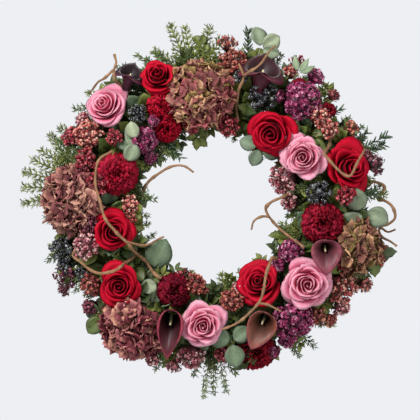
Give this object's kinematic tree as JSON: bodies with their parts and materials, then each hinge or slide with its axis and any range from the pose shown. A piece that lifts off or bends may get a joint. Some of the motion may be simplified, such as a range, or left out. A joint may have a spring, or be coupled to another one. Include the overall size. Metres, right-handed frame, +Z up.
{
  "type": "door wreath",
  "caption": "Harvest door wreath of roses, callas, hydrangeas, berries and curly twigs planted in a moss-covered wire ring, with a folding wire bail to hang it by.",
  "frame": {"origin": "the point inside the top of the hanging bail, where a hook bears", "axes": "+Z up along the wreath as it hangs, +Y into the door, so the flowers face -Y; +X to the right seen from the front"},
  "size_m": [0.459, 0.1148, 0.4618],
  "materials": {
    "frame": "green enamelled wire",
    "bail_wire": "galvanised wire",
    "binding": "green reel wire",
    "moss": "damp sphagnum moss",
    "rose_red": "velvety petals",
    "rose_pink": "soft petals",
    "carnation": "ruffled petals",
    "calla": "waxy spathe",
    "hydrangea": "papery florets",
    "statice": "papery florets",
    "pepper_berry": "small berries and buds",
    "viburnum": "waxy berries",
    "eucalyptus": "matt leaves",
    "willow_twig": "bark",
    "conifer_spray": "needle foliage"
  },
  "bodies": {
    "wreath": {"binding_wire": "binding", "calla_1": "calla", "calla_2": "calla", "calla_3": "calla", "calla_4": "calla", "calla_5": "calla", "carnation_1": "carnation", "carnation_2": "carnation", "carnation_3": "carnation", "carnation_4": "carnation", "carnation_5": "carnation", "conifer_spray_1": "conifer_spray", "conifer_spray_2": "conifer_spray", "conifer_spray_3": "conifer_spray", "conifer_spray_4": "conifer_spray", "eucalyptus_1": "eucalyptus", "eucalyptus_2": "eucalyptus", "frame_inner_ring": "frame", "frame_outer_ring": "frame", "frame_strap_1": "frame", "frame_strap_2": "frame", "frame_strap_3": "frame", "frame_strap_4": "frame", "hanger_eye_left": "bail_wire", "hanger_eye_right": "bail_wire", "hydrangea_1": "hydrangea", "hydrangea_2": "hydrangea", "hydrangea_3": "hydrangea", "hydrangea_4": "hydrangea", "moss_ring": "moss", "pepper_berry_1": "pepper_berry", "pepper_berry_2": "pepper_berry", "pepper_berry_3": "pepper_berry", "pepper_berry_4": "pepper_berry", "rose_pink_1": "rose_pink", "rose_pink_2": "rose_pink", "rose_pink_3": "rose_pink", "rose_pink_4": "rose_pink", "rose_red_1": "rose_red", "rose_red_2": "rose_red", "rose_red_3": "rose_red", "rose_red_4": "rose_red", "rose_red_5": "rose_red", "rose_red_6": "rose_red", "statice_1": "statice", "statice_2": "statice", "statice_3": "statice", "statice_4": "statice", "viburnum_1": "viburnum", "viburnum_2": "viburnum", "willow_twig_1": "willow_twig", "willow_twig_2": "willow_twig", "willow_twig_3": "willow_twig", "willow_twig_4": "willow_twig", "willow_twig_5": "willow_twig", "willow_twig_6": "willow_twig", "willow_twig_7": "willow_twig", "willow_twig_8": "willow_twig", "willow_twig_9": "willow_twig"},
    "bail": {"hanger_bail": "bail_wire"}
  },
  "joints": [
    {"name": "bail_hinge", "type": "hinge", "parent": "wreath", "child": "bail", "pos_m": [0, 0.00404, -0.02872], "axis": [-1, 0, 0], "range_deg": [0, 140]}
  ]
}
